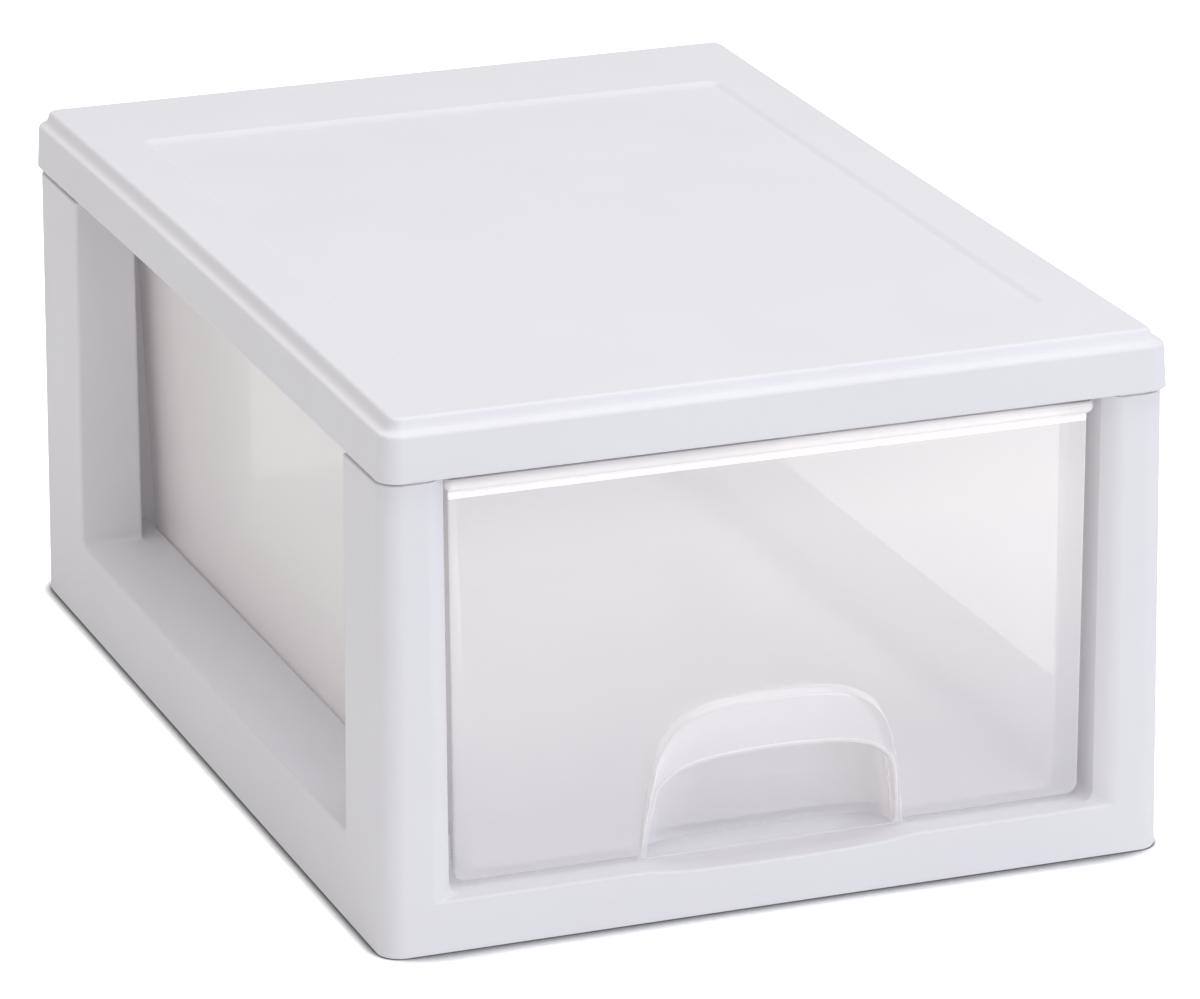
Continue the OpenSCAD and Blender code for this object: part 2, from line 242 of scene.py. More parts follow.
# %% Materials: helpers
def hex_colour(code):
    """An sRGB hex colour as linear red, green, blue and alpha."""
    parts = [int(code[i:i + 2], 16) / 255 for i in (1, 3, 5)]
    return [c / 12.92 if c <= 0.04045 else ((c + 0.055) / 1.055) ** 2.4 for c in parts] + [1]


def add_node(tree, kind, inputs=None, **settings):
    """Adds a node. An input takes a value or another node's output; a node stands for its first output."""
    node = tree.nodes.new(kind)
    for key, value in settings.items():
        setattr(node, key, value)
    for key, value in (inputs or {}).items():
        if isinstance(value, bpy.types.Node):
            value = value.outputs[0]
        if isinstance(value, bpy.types.NodeSocket):
            tree.links.new(value, node.inputs[key])
        else:
            node.inputs[key].default_value = value
    return node


def new_material(name):
    material = bpy.data.materials.new(name)
    material.use_nodes = True
    material.node_tree.nodes.clear()
    return material, material.node_tree


def moulded_bump(tree, grain_mm, grain_depth_mm, sink_mm, sink_depth_mm):
    """Mould grain over slow sink marks, each with its width and depth in millimetres."""
    place = add_node(tree, "ShaderNodeTexCoord").outputs["Object"]
    sink = add_node(tree, "ShaderNodeTexNoise", {"Vector": place, "Scale": 1000 / sink_mm, "Detail": 1.0})
    grain = add_node(tree, "ShaderNodeTexNoise", {"Vector": place, "Scale": 1000 / grain_mm, "Detail": 3.0})
    slow = add_node(tree, "ShaderNodeBump",
                    {"Height": sink, "Strength": 1.0, "Distance": sink_depth_mm * MM})
    fine = add_node(tree, "ShaderNodeBump",
                    {"Height": grain, "Normal": slow, "Strength": 1.0, "Distance": grain_depth_mm * MM})
    return fine, grain, sink


# %% White moulded polypropylene
def white_polypropylene():
    material, tree = new_material("moulded_white_polypropylene")
    normal, grain, sink = moulded_bump(tree, 1.2, 0.012, 45, 0.06)
    tint = add_node(tree, "ShaderNodeMix",
                    {"Factor": sink, "A": hex_colour("#F0EDF0"), "B": hex_colour("#F3F1F3")},
                    data_type="RGBA").outputs["Result"]
    rough = add_node(tree, "ShaderNodeMapRange",
                     {"Value": grain, "From Min": 0.3, "From Max": 0.7, "To Min": 0.4, "To Max": 0.5})
    skin = add_node(tree, "ShaderNodeBsdfPrincipled",
                    {"Base Color": tint, "Roughness": rough, "Normal": normal, "IOR": 1.49,
                     "Specular IOR Level": 0.4})
    add_node(tree, "ShaderNodeOutputMaterial", {"Surface": skin})
    return material


WHITE = white_polypropylene()
print("Material:", WHITE.name)


# %% [markdown]
# The clear plastic has no pigment, but it is a little milky. Seen square on, about half of what lies behind
# it comes through. Seen along its face the light crosses more of it, so it hides more and looks darker and
# warmer. A glass shader could do this, but a mix of see-through and milk renders with less noise, and each
# share can be matched by itself. The milk's colour goes above 1 on purpose, as a painted glow: in the real
# drawer light also comes in through the other walls and makes the front glow, and a thin shell here can't do
# that. The price is that the open drawer looks too white. The milk is also painted whiter high up, where the
# walls get more light: painted light. The fine ridge under the lip hides nearly all that lies behind it, and
# the thick lip two thirds; this is partly their thickness and partly a painted highlight line and painted
# light on the lip. The grey top edge is a guess that keeps the open drawer's outline readable. Shadows and
# bounced light see only a share of the plastic, so the box stays light inside.

# %% Clear moulded polypropylene
PLAIN_WHITE = hex_colour("#FFFFFF")
# Milk colours above 1 are a painted glow; the higher one is painted light for the upper walls.
MILK_LOW_WITH_PAINTED_GLOW = (1.06, 1.04, 1.06, 1)
MILK_HIGH_WITH_PAINTED_GLOW = (1.51, 1.46, 1.42, 1)
MILK_ALONG = (1.07, 1.03, 1.01, 1)
PAINTED_LIGHT_CLIMB = {"From Min": 0.025, "From Max": 0.12}
SLANT_WARMS = {"From Min": 0.3, "From Max": 0.65}
SLANT_HIDES = {"From Min": 0.1, "From Max": 0.7, "To Min": 0.46, "To Max": 0.91}
# The lip band is partly real thickness and partly painted light: the fine ridge is veiled nearly white as a
# painted highlight line.
LIP_AND_PAINTED_HIGHLIGHT_START = {"From Min": 0.1417, "From Max": 0.142, "To Min": 0, "To Max": 0.98}
LIP_THICKNESS_AND_PAINTED_LIGHT = {"From Min": 0.1434, "From Max": 0.144, "To Min": 1, "To Max": 0.68}
BRIM_START = {"From Min": 0.1486, "From Max": 0.1489}
OTHER_RAYS_SHARE = {"To Min": 0.65, "To Max": 0.22}


def clear_body(tree, normal):
    """Milk over what lies behind it: more along a face and on the lip, grey on the top edge, with a painted
    glow that is stronger high up.
    """
    slant = add_node(tree, "ShaderNodeLayerWeight", {"Blend": 0.5, "Normal": normal}).outputs["Facing"]
    place = add_node(tree, "ShaderNodeTexCoord").outputs["Object"]
    height = add_node(tree, "ShaderNodeSeparateXYZ", {"Vector": place}).outputs["Z"]

    # Painted light: the milk's colour climbs with height, whiter high up where the walls get more light.
    climb = add_node(tree, "ShaderNodeMapRange", {"Value": height, **PAINTED_LIGHT_CLIMB})
    across = add_node(tree, "ShaderNodeMix", {"Factor": climb, "A": MILK_LOW_WITH_PAINTED_GLOW, "B": MILK_HIGH_WITH_PAINTED_GLOW},
                      data_type="RGBA").outputs["Result"]
    along = add_node(tree, "ShaderNodeMapRange", {"Value": slant, **SLANT_WARMS})
    cloud_and_painted_glow = add_node(tree, "ShaderNodeMix", {"Factor": along, "A": across, "B": MILK_ALONG},
                     data_type="RGBA").outputs["Result"]
    brim = add_node(tree, "ShaderNodeMapRange", {"Value": height, **BRIM_START})
    edged = add_node(tree, "ShaderNodeMix", {"Factor": brim, "A": cloud_and_painted_glow, "B": hex_colour("#AEB1B9")},
                     data_type="RGBA").outputs["Result"]
    milk_and_painted_glow = add_node(tree, "ShaderNodeBsdfDiffuse", {"Color": edged, "Normal": normal})

    through = add_node(tree, "ShaderNodeBsdfTransparent", {"Color": hex_colour("#F0EEED")})
    haze = add_node(tree, "ShaderNodeMapRange", {"Value": slant, **SLANT_HIDES})
    # Painted highlight on the fine ridge under the lip, and painted light on the lip above it, over their real
    # thickness.
    thick_and_painted_highlight = add_node(tree, "ShaderNodeMapRange", {"Value": height, **LIP_AND_PAINTED_HIGHLIGHT_START})
    lip_veil_and_painted_light = add_node(tree, "ShaderNodeMapRange", {"Value": height, **LIP_THICKNESS_AND_PAINTED_LIGHT})
    lip = add_node(tree, "ShaderNodeMath", {0: thick_and_painted_highlight, 1: lip_veil_and_painted_light}, operation="MULTIPLY")
    veil = add_node(tree, "ShaderNodeMath", {0: haze, 1: lip}, operation="MAXIMUM")
    return add_node(tree, "ShaderNodeMixShader", {0: veil, 1: through, 2: milk_and_painted_glow})


def clear_polypropylene():
    """A glossy skin over the milky body, seen on outer faces only and thinned for rays that carry light."""
    material, tree = new_material("moulded_clear_polypropylene")
    normal = moulded_bump(tree, 2.0, 0.01, 60, 0.12)[0]
    mirror = add_node(tree, "ShaderNodeFresnel", {"IOR": 1.55, "Normal": normal})
    gloss = add_node(tree, "ShaderNodeBsdfGlossy",
                     {"Color": PLAIN_WHITE, "Roughness": 0.2, "Normal": normal})
    face = add_node(tree, "ShaderNodeMixShader", {0: mirror, 1: clear_body(tree, normal), 2: gloss})

    open_air = add_node(tree, "ShaderNodeBsdfTransparent", {"Color": PLAIN_WHITE})
    behind = add_node(tree, "ShaderNodeNewGeometry").outputs["Backfacing"]
    wall = add_node(tree, "ShaderNodeMixShader", {0: behind, 1: face, 2: open_air})
    path = add_node(tree, "ShaderNodeLightPath").outputs
    other = add_node(tree, "ShaderNodeMapRange", {"Value": path["Is Shadow Ray"], **OTHER_RAYS_SHARE})
    share = add_node(tree, "ShaderNodeMath", {0: path["Is Camera Ray"], 1: other}, operation="MAXIMUM")
    seen = add_node(tree, "ShaderNodeMixShader", {0: share, 1: open_air, 2: wall})
    add_node(tree, "ShaderNodeOutputMaterial", {"Surface": seen})
    return material


CLEAR = clear_polypropylene()
print("Material:", CLEAR.name)

# %% [markdown]
# The frame is one moulding. It starts as a block whose sides lean in a little towards the top, which lets
# it leave the mould. The hollows below, the bay for the drawer, the windows and the floor opening are then
# cut away with tools that widen where they break through a face. The widening leaves a round edge, so no
# edge has to be rounded afterwards.

# %% Frame: sizes
foot_high = [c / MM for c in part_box("frame")[1]]
FOOT_HALF_W = foot_high[0]
FOOT_HALF_L = foot_high[1]
SHOULDER_Z = 150.7
LEAN_X = 1.3 / SHOULDER_Z
LEAN_Y = 0.5 / SHOULDER_Z
FRAME_CORNER = 7.5
WALL = 2.2
RAIL_Z = 29.0
LEDGE_Z = 18.5
FRONT_LEDGE_Z = 17.7
RAIL_IN = 99.0
POST_IN = 107.0
WINDOW_Y = (-148.0, 134.0)
BAY_REAR = 155.0
RAIL_FRONT = -160.0
REAR_WINDOW = 60.5
STEP_Y = -128.0
TOP = 200.0


def rounding(radius, steps=5, last=80):
    """(distance behind a face, widening) pairs that leave a round edge of this radius."""
    angles = [math.radians(last * i / steps) for i in range(steps + 1)]
    pairs = [(radius * (1 - math.sin(a)), radius * (1 - math.cos(a))) for a in angles]
    return pairs + [(-0.6, radius * (1 - math.cos(math.radians(last))) + 0.5), (-8, radius + 1)]


# %% Frame: the outer block
def frame_block():
    levels = [(0.0, 0.7), (0.2, 0.25), (0.7, 0.0), (SHOULDER_Z - 0.7, 0.0), (SHOULDER_Z - 0.2, 0.2),
              (SHOULDER_Z, 0.7)]
    rings = []
    for z, inset in levels:
        half_w = FOOT_HALF_W - LEAN_X * z - inset
        half_l = FOOT_HALF_L - LEAN_Y * z - inset
        rings.append(at_height(round_rect(half_w, half_l, corners(FRAME_CORNER - inset)), z))
    return loft("frame", rings)


# %% Frame: hollows below
def frame_hollows():
    """The tools for the hollows: under the floor, in the rails and in the four posts."""
    w, l = FOOT_HALF_W - WALL, FOOT_HALF_L - WALL
    under = FRONT_LEDGE_Z - WALL
    rail = RAIL_Z - WALL
    post = SHOULDER_Z - WALL
    corner = FRAME_CORNER - WALL
    tools = [loft("under_floor", [at_height(round_rect(w - LEAN_X * z, l - LEAN_Y * z, corner), z)
                                  for z in (-1, under)])]
    for s in (-1, 1):
        xs = sorted((s * (RAIL_IN + WALL), s * (w - 0.3)))
        tools.append(block((xs[0], RAIL_FRONT + 2 * WALL, 1), (xs[1], l - 6, rail), "in_side_rail"))
        for y0, y1 in ((-l + 0.8, WINDOW_Y[0] - WALL), (WINDOW_Y[1] + WALL, l - 0.8)):
            centre = (s * (POST_IN + WALL + w - 1.6) / 2, (y0 + y1) / 2)
            half = ((w - 1.6 - POST_IN - WALL) / 2, (y1 - y0) / 2)
            tools.append(loft("in_post", [at_height(round_rect(*half, 4, centre), z) for z in (2, post)]))
        xs = sorted((s * (REAR_WINDOW + WALL), s * (POST_IN + 4)))
        tools.append(block((xs[0], BAY_REAR + WALL, 2), (xs[1], l - 0.8, post), "in_rear_wall"))
    tools.append(block((-w + 6, BAY_REAR + WALL, 1.5), (w - 6, l - 0.3, rail), "in_rear_rail"))
    return tools


# %% Frame: the front opening with its sill and finger scoop
SILL_Z = 17.0
SCOOP_HALF_W = 43.0
SCOOP_FRONT = 1.9
SCOOP_DEEP = 4.3
SCOOP_BACK = -157.0
JAMB_WIDE = 6.8
JAMB_DEEP = 4.0
JAMB_CORNER = 4.0
SILL_SLOPE_END = -175.0


def smooth(t):
    """Eases from 0 to 1 while t goes from 0 to 1."""
    t = min(max(t, 0), 1)
    return t * t * (3 - 2 * t)


def scoop_depth(x, y):
    """How far the finger scoop lies below the sill."""
    across = max(0.0, 1 - (abs(x) / SCOOP_HALF_W) ** 3.2) ** 0.75
    along = SCOOP_FRONT + (SCOOP_DEEP - SCOOP_FRONT) * smooth((y + FOOT_HALF_L) / 16)
    along *= 1 - smooth((y - SCOOP_BACK + 9) / 9)
    return across * along


def sill_height(y):
    """The sill's top: it climbs from its front edge to the ledge and is round at the front."""
    climb = SILL_Z + (FRONT_LEDGE_Z - SILL_Z) * smooth((y + FOOT_HALF_L - 1) / (FOOT_HALF_L + SILL_SLOPE_END))
    t = min(max(-FOOT_HALF_L + 1.0 - y, 0), 1)
    return climb - (1 - math.sqrt(max(1 - t * t, 0.03)))


def opening_ring(y):
    """Outline of the front opening at one depth, in X and Z."""
    behind = y + FOOT_HALF_L
    depth = min(max(behind, 0) / JAMB_DEEP, 1)
    half = POST_IN - 0.4 + JAMB_WIDE * (1 - math.sqrt(depth))
    if behind < 0:
        half += 0.6
    if y > RAIL_FRONT:
        half = RAIL_IN - 0.3
    corner = 0.8 + (JAMB_CORNER - 0.8) * depth ** 2
    low = sill_height(y)
    steps = 72
    floor_x = [-(half - corner) + 2 * (half - corner) * i / steps for i in range(1, steps)]
    points = arc((-(half - corner), low + corner), corner, 180, 270, 8)
    points += [(x, low - scoop_depth(x, y)) for x in floor_x]
    points += arc((half - corner, low + corner), corner, 270, 360, 8)
    points += [(half + 0.4, TOP), (-half - 0.4, TOP)]
    return [(x, y + LEAN_Y * z, z) for x, z in points]


def front_opening():
    """The tool is cut finest where the opening flares and the sill is round."""
    flare = (-6, -0.5, 0.02, 0.1, 0.25, 0.5, 0.8, 1.1, 1.6, 2.3, 3.1, 4.0)
    sill = (5, 6.5, 8, 10, 12, 14, 16, 18, 20, 22)
    stations = [-FOOT_HALF_L + t for t in flare + sill] + [RAIL_FRONT + t for t in (0, 0.01, 1.5, 3.1)]
    return loft("front_opening", [opening_ring(y) for y in stations])


# %% Frame: the bay behind it
def bay():
    """The space that the drawer slides in: a channel between the rails, wider above them."""
    ledge, rail, corner, edge = LEDGE_Z, RAIL_Z, 1.6, 1.3
    right = arc((RAIL_IN - corner, ledge + corner), corner, 270, 360, 5)
    right += arc((RAIL_IN + edge, rail - edge), edge, 180, 95, 5)
    right += [(POST_IN, rail), (POST_IN + 0.3, TOP)]
    left = [(-x, z) for x, z in reversed(right)]
    outline = left + right
    return loft("bay", [[(x, y, z) for x, z in outline] for y in (RAIL_FRONT, BAY_REAR)])


def front_ledge_step():
    """The front ledge lies a little lower than the ledges beside it."""
    return block((-RAIL_IN + 0.4, RAIL_FRONT, FRONT_LEDGE_Z), (RAIL_IN - 0.4, STEP_Y, LEDGE_Z + 1), "step")


# %% Frame: windows, floor opening and holes
def window_tool(name, inside, outside, ends, lean, turn):
    """Breaks through a wall, from the bay outwards; turn says where a depth and a place along it lie."""
    stations = [(inside - 4, 1.6, 0)] + [(inside + d, w, 0) for d, w in reversed(rounding(1.4)[:-2])]
    stations += [(outside - d, w, w) for d, w in rounding(1.2)]
    rings = []
    for depth, side_widen, low_widen in stations:
        start, end = ends[0] - side_widen, ends[1] + side_widen
        z0, r = RAIL_Z - low_widen, 2.2
        outline = arc((start + r, z0 + r), r, 180, 270, 6) + arc((end - r, z0 + r), r, 270, 360, 6)
        outline += [(end, TOP), (start, TOP)]
        slope = lean if depth > inside + 8 else 0
        rings.append([turn(depth - slope * (z - RAIL_Z), along, z) for along, z in outline])
    return loft(name, rings)


def side_window(side):
    outside = FOOT_HALF_W - LEAN_X * RAIL_Z
    return window_tool("side_window", POST_IN, outside, WINDOW_Y, LEAN_X, lambda x, y, z: (side * x, y, z))


def rear_window():
    outside = FOOT_HALF_L - LEAN_Y * RAIL_Z
    ends = (-REAR_WINDOW, REAR_WINDOW)
    return window_tool("rear_window", BAY_REAR, outside, ends, LEAN_Y, lambda y, x, z: (x, y, z))


FLOOR_OPENING = dict(half_w=76.0, half_l=120.25, centre=(0, -5.75))
FLOOR_LIP_Z = 9.5
HOLE_X = 73
HOLE_Y = -133
HOLE_RADIUS = 5
HOLE_SIDES = 32


def floor_outline(grow):
    o = FLOOR_OPENING
    return round_rect(o["half_w"] + grow, o["half_l"] + grow, 15 + grow, o["centre"])


def floor_opening():
    rings = [at_height(floor_outline(0), z) for z in (-3, LEDGE_Z - 4)]
    rings += [at_height(floor_outline(w), LEDGE_Z - d) for d, w in rounding(1.0)]
    return loft("floor_opening", rings)


def floor_lip():
    outer = [at_height(floor_outline(WALL), z) for z in (FLOOR_LIP_Z, LEDGE_Z - 1)]
    return loft("floor_lip", outer)


def ledge_hole(x):
    circle = arc((0, 0), HOLE_RADIUS, 0, 360 - 360 / HOLE_SIDES, HOLE_SIDES - 1)
    rings = [[(x + px, HOLE_Y + py, 10) for px, py in circle]]
    for d, w in rounding(0.5, 3):
        scale = (HOLE_RADIUS + w) / HOLE_RADIUS
        rings.append([(x + px * scale, HOLE_Y + py * scale, FRONT_LEDGE_Z - d) for px, py in circle])
    return loft("ledge_hole", rings)


# %% Frame: necks that hold the lid
NECK_OUTER = (125.1, 182.8, 5.5)
NECK_INNER = (122.7, 180.4, 3.1)
NECK_TOP = 164.3
NECK_END_X = POST_IN + 4.5
NECK_CUT_Z = (140, 170)


def necks():
    """Thin walls on the post tops, inside the lid's skirt."""
    low, high = NECK_CUT_Z
    ring = loft("necks", [at_height(round_rect(*NECK_OUTER), z) for z in (SHOULDER_Z - 1, NECK_TOP)])
    cut(ring, loft("in_necks", [at_height(round_rect(*NECK_INNER), z) for z in NECK_CUT_Z]))
    cut(ring, block((-140, WINDOW_Y[0], low), (140, WINDOW_Y[1], high)))
    cut(ring, block((-NECK_END_X, -TOP, low), (NECK_END_X, 0, high)))
    return cut(ring, block((-REAR_WINDOW, 0, low), (REAR_WINDOW, TOP, high)))


# %% Frame: put together
def make_frame():
    body = cut(frame_block(), *frame_hollows())
    boss = SCOOP_HALF_W + WALL
    join(body, block((-boss, -FOOT_HALF_L + WALL / 2, 9.3), (boss, SCOOP_BACK + WALL, 16.5), "under_scoop"))
    join(body, floor_lip())
    cut(body, front_opening(), bay(), front_ledge_step(), side_window(-1), side_window(1), rear_window())
    cut(body, floor_opening(), ledge_hole(-HOLE_X), ledge_hole(HOLE_X))
    return join(body, necks())


finish_piece(make_frame(), WHITE, "frame", "white_plastic", "frame")

# %% [markdown]
# The lid is a shallow tray upside down: a skirt, a ledge that the next box stands on, a raised platform
# that keeps that box in place, and a sunken panel. It is a single stack of outlines that starts under the
# panel, runs down inside the skirt, turns round its lower edge, climbs outside over the ledge to the
# platform and ends on the sunken panel.

# %% Lid
LID_TOP = 170.8
SKIRT_Z = 151.9
LID_LEDGE_Z = 166.6
SKIRT_HALF = (128.3, 186.1)
LID_BOW = 0.9
PANEL = dict(half_w=102.5, front=-143.0, rear=132.0)


def lid_outline(inset, z, radius):
    half_w, half_l = SKIRT_HALF[0] - inset, SKIRT_HALF[1] - inset
    rounder = REAR_ROUNDER * max(0, 1 - inset / 5)
    return at_height(bowed(round_rect(half_w, half_l, corners(radius, rounder)), LID_BOW), z)


def panel_outline(grow, z, radius):
    """Outline of the sunken panel. Its rear edge slopes more than the others."""
    rear = PANEL["rear"] + (1 if grow > 0 else 2.2) * grow
    mid = (PANEL["front"] - grow + rear) / 2
    half_l = (rear - PANEL["front"] - grow) / 2
    return at_height(round_rect(PANEL["half_w"] + grow, half_l + grow, radius, (0, mid)), z)


def make_lid():
    lean = 0.95 / (LID_LEDGE_Z - SKIRT_Z)
    rings = [
        panel_outline(2.2, LID_TOP - 3.2, 4),
        panel_outline(2.3, LID_TOP - 2.3, 4),
        lid_outline(8.8, LID_TOP - 2.2, 2.4),
        lid_outline(7.6, LID_LEDGE_Z - 2.2, 2.6),
        lid_outline(3.3, LID_LEDGE_Z - 2.4, 4.2),
        lid_outline(2.4, SKIRT_Z + 0.2, 4.9),
        lid_outline(2.1, SKIRT_Z, 5.1),
        lid_outline(0.9, SKIRT_Z, 6.0),
        lid_outline(0.4, SKIRT_Z + 0.12, 6.4),
        lid_outline(0.1, SKIRT_Z + 0.45, 6.7),
        lid_outline(0.0, SKIRT_Z + 1.0, 7.2),
        lid_outline(lean * (LID_LEDGE_Z - SKIRT_Z - 1.3), LID_LEDGE_Z - 1.3, 6.4),
        lid_outline(1.0, LID_LEDGE_Z - 0.75, 6.3),
        lid_outline(1.25, LID_LEDGE_Z - 0.3, 6.1),
        lid_outline(1.65, LID_LEDGE_Z - 0.05, 5.8),
        lid_outline(2.2, LID_LEDGE_Z, 5.4),
        lid_outline(2.8, LID_LEDGE_Z + 0.12, 5.0),
        lid_outline(3.4, LID_LEDGE_Z + 0.45, 4.7),
        lid_outline(3.9, LID_LEDGE_Z + 0.95, 4.4),
        lid_outline(4.3, LID_LEDGE_Z + 1.6, 4.1),
        lid_outline(4.6, LID_LEDGE_Z + 2.3, 3.9),
        lid_outline(4.85, LID_TOP - 1.1, 3.7),
        lid_outline(5.1, LID_TOP - 0.6, 3.5),
        lid_outline(5.4, LID_TOP - 0.25, 3.3),
        lid_outline(5.85, LID_TOP - 0.04, 3.0),
        lid_outline(6.4, LID_TOP, 2.7),
        panel_outline(1.5, LID_TOP, 3.8),
        panel_outline(1.0, LID_TOP - 0.12, 3.5),
        panel_outline(0.6, LID_TOP - 0.35, 3.2),
        panel_outline(-0.7, LID_TOP - 0.95, 2.4),
        panel_outline(-1.2, LID_TOP - 1.08, 2.0),
        panel_outline(-1.7, LID_TOP - 1.1, 1.7),
    ]
    return loft("lid", rings)


finish_piece(make_lid(), WHITE, "frame", "white_plastic", "lid")

# %% [markdown]
# The drawer is one clear moulding. A thin bin leans outwards to the top. Its front panel is a little wider
# than the bin and carries a rolled lip along the top. The finger pull is an arched hood that stands out of
# the panel, with a pocket for the fingertips behind it. The hood is a solid shell between two arches whose
# feet sink back into the panel, and its rounded rim is what shows as a thin white line.

# %% Drawer: sizes
PANEL_Y = -175.8
DRAWER_WALL = 1.9
DRAWER_Z = 18.8
DRAWER_TOP = 149.5
DRAWER_REAR = 150.5
BIN_HALF = 98.3
BIN_LEAN = 0.031
BIN_CORNER = 5
BIN_FOOT_R = 4.5
PANEL_HALF = (103.3, 104.0)
PANEL_FOOT = 19.2
PANEL_CORNER = 3.6


# %% Drawer: bin
def bin_ring(z, inset):
    """Outline of the bin at one height, moved in by a distance."""
    lean = BIN_LEAN * (z - DRAWER_Z)
    half_w = BIN_HALF + lean - inset
    front, rear = PANEL_Y + inset + 0.05, DRAWER_REAR + lean - inset
    radius = max(BIN_CORNER - inset * 0.9, 1)
    return at_height(round_rect(half_w, (rear - front) / 2, radius, (0, (front + rear) / 2)), z)


def bin_solid(inset, top, name):
    """The bin, or the space inside it, with a round edge all along its foot."""
    bottom, radius = DRAWER_Z + inset, BIN_FOOT_R - inset
    rings = []
    for i in range(7):
        a = math.radians(90 * i / 6)
        z = bottom + radius * (1 - math.sin(math.pi / 2 - a))
        rings.append(bin_ring(z, inset + radius * (1 - math.sin(a))))
    rings.append(bin_ring(DRAWER_TOP - 0.6, inset))
    rings += [bin_ring(DRAWER_TOP - 0.2, inset + (0.15 if inset == 0 else -0.15)),
              bin_ring(DRAWER_TOP, inset + (0.5 if inset == 0 else -0.5))]
    if top > DRAWER_TOP:
        rings.append(bin_ring(top, inset - 0.5))
    return loft(name, rings)


# %% Drawer: front panel and lip
def front_panel():
    z0, z1, r = PANEL_FOOT, DRAWER_TOP, PANEL_CORNER
    rings = []
    edge = [(0.0, 0.5), (0.15, 0.15), (0.5, 0.0), (DRAWER_WALL - 0.5, 0.0), (DRAWER_WALL - 0.15, 0.15),
            (DRAWER_WALL, 0.5)]
    for depth, inset in edge:
        low, high = PANEL_HALF[0] - inset, PANEL_HALF[1] - inset
        outline = arc((-low + r, z0 + inset + r - inset), r - inset, 180, 270, 8)
        outline += arc((low - r, z0 + inset + r - inset), r - inset, 270, 360, 8)
        outline += [(high, z1 - inset), (-high, z1 - inset)]
        rings.append([(x, PANEL_Y + depth, z) for x, z in outline])
    return loft("front_panel", rings)


BEAD_RINGS = 20
BEAD_TURN = 172


def bead_nodes():
    """Geometry nodes for a round bead along X that ends in two half balls: rings set out by angle."""
    group = bpy.data.node_groups.new("bead_with_round_ends", "GeometryNodeTree")
    group.interface.new_socket("Geometry", in_out="OUTPUT", socket_type="NodeSocketGeometry")
    for name, value in (("Start", -100.0), ("End", 100.0), ("Radius", 2.0)):
        group.interface.new_socket(name, in_out="INPUT", socket_type="NodeSocketFloat").default_value = value
    group.interface.new_socket("Material", in_out="INPUT", socket_type="NodeSocketMaterial")
    given = add_node(group, "NodeGroupInput").outputs
    line = add_node(group, "GeometryNodeMeshLine", {"Count": BEAD_RINGS})
    index = add_node(group, "GeometryNodeInputIndex")
    step = math.radians(BEAD_TURN) / (BEAD_RINGS - 1)
    first = math.radians((180 - BEAD_TURN) / 2)
    angle = add_node(group, "ShaderNodeMath", {0: index, 1: step, 2: first}, operation="MULTIPLY_ADD")
    right = add_node(group, "ShaderNodeMath", {0: angle, 1: math.pi / 2}, operation="GREATER_THAN")
    left_end = add_node(group, "ShaderNodeMath", {0: given["Start"], 1: given["Radius"]}, operation="ADD")
    right_end = add_node(group, "ShaderNodeMath", {0: given["End"], 1: given["Radius"]},
                         operation="SUBTRACT")
    length = add_node(group, "ShaderNodeMath", {0: right_end, 1: left_end}, operation="SUBTRACT")
    middle = add_node(group, "ShaderNodeMath", {0: right, 1: length, 2: left_end},
                      operation="MULTIPLY_ADD")
    cosine = add_node(group, "ShaderNodeMath", {0: angle}, operation="COSINE")
    outwards = add_node(group, "ShaderNodeMath", {0: given["Radius"], 1: cosine}, operation="MULTIPLY")
    x = add_node(group, "ShaderNodeMath", {0: middle, 1: outwards}, operation="SUBTRACT")
    sine = add_node(group, "ShaderNodeMath", {0: angle}, operation="SINE")
    width = add_node(group, "ShaderNodeMath", {0: given["Radius"], 1: sine}, operation="MULTIPLY")
    place = add_node(group, "ShaderNodeCombineXYZ", {"X": x})
    rings = add_node(group, "GeometryNodeSetPosition", {"Geometry": line, "Position": place})
    path = add_node(group, "GeometryNodeMeshToCurve", {"Mesh": rings})
    circle = add_node(group, "GeometryNodeCurvePrimitiveCircle", {"Resolution": 24, "Radius": 1.0})
    swept = add_node(group, "GeometryNodeCurveToMesh",
                     {"Curve": path, "Profile Curve": circle, "Scale": width, "Fill Caps": True})
    real = add_node(group, "GeometryNodeRealizeInstances", {"Geometry": swept})
    coloured = add_node(group, "GeometryNodeSetMaterial",
                        {"Geometry": real, "Material": given["Material"]})
    add_node(group, "NodeGroupOutput", {"Geometry": coloured})
    return group


BEAD = bead_nodes()
print("Node tree:", BEAD.name, "with", BEAD_RINGS, "rings")


def bead(name, start, end, radius, y, z):
    """A bead along the drawer's front, as a plain closed mesh."""
    obj = mesh_object(name, [], [])
    step = obj.modifiers.new("bead", "NODES")
    step.node_group = BEAD
    values = {"Start": start, "End": end, "Radius": radius, "Material": CLEAR}
    for item in BEAD.interface.items_tree:
        if item.in_out == "INPUT":
            step[item.identifier] = values[item.name]
    baked(obj)
    obj.data.transform(Matrix.Translation((0, y, z)))
    return face_outwards(obj)


def rolled_lip():
    """A thick round bead along the top of the panel, and a fine one below it that catches the light; its white
    line is partly a painted highlight.
    """
    lip = bead("rolled_lip", -105.6, 105.6, 2.5, PANEL_Y - 0.5, DRAWER_TOP - 2.5)
    line = bead("light_line", -99.5, 102.5, 0.9, PANEL_Y + 0.35, DRAWER_TOP - 6.6)
    return lip, line


# %% Drawer: finger pull
HOOD_OUT = 3.3
PULL_FOOT = 18.0
POCKET_BACK = -160.0
POCKET_NARROWS = 0.55
POCKET_SINKS = 0.28
POCKET_CURVE = 1.6


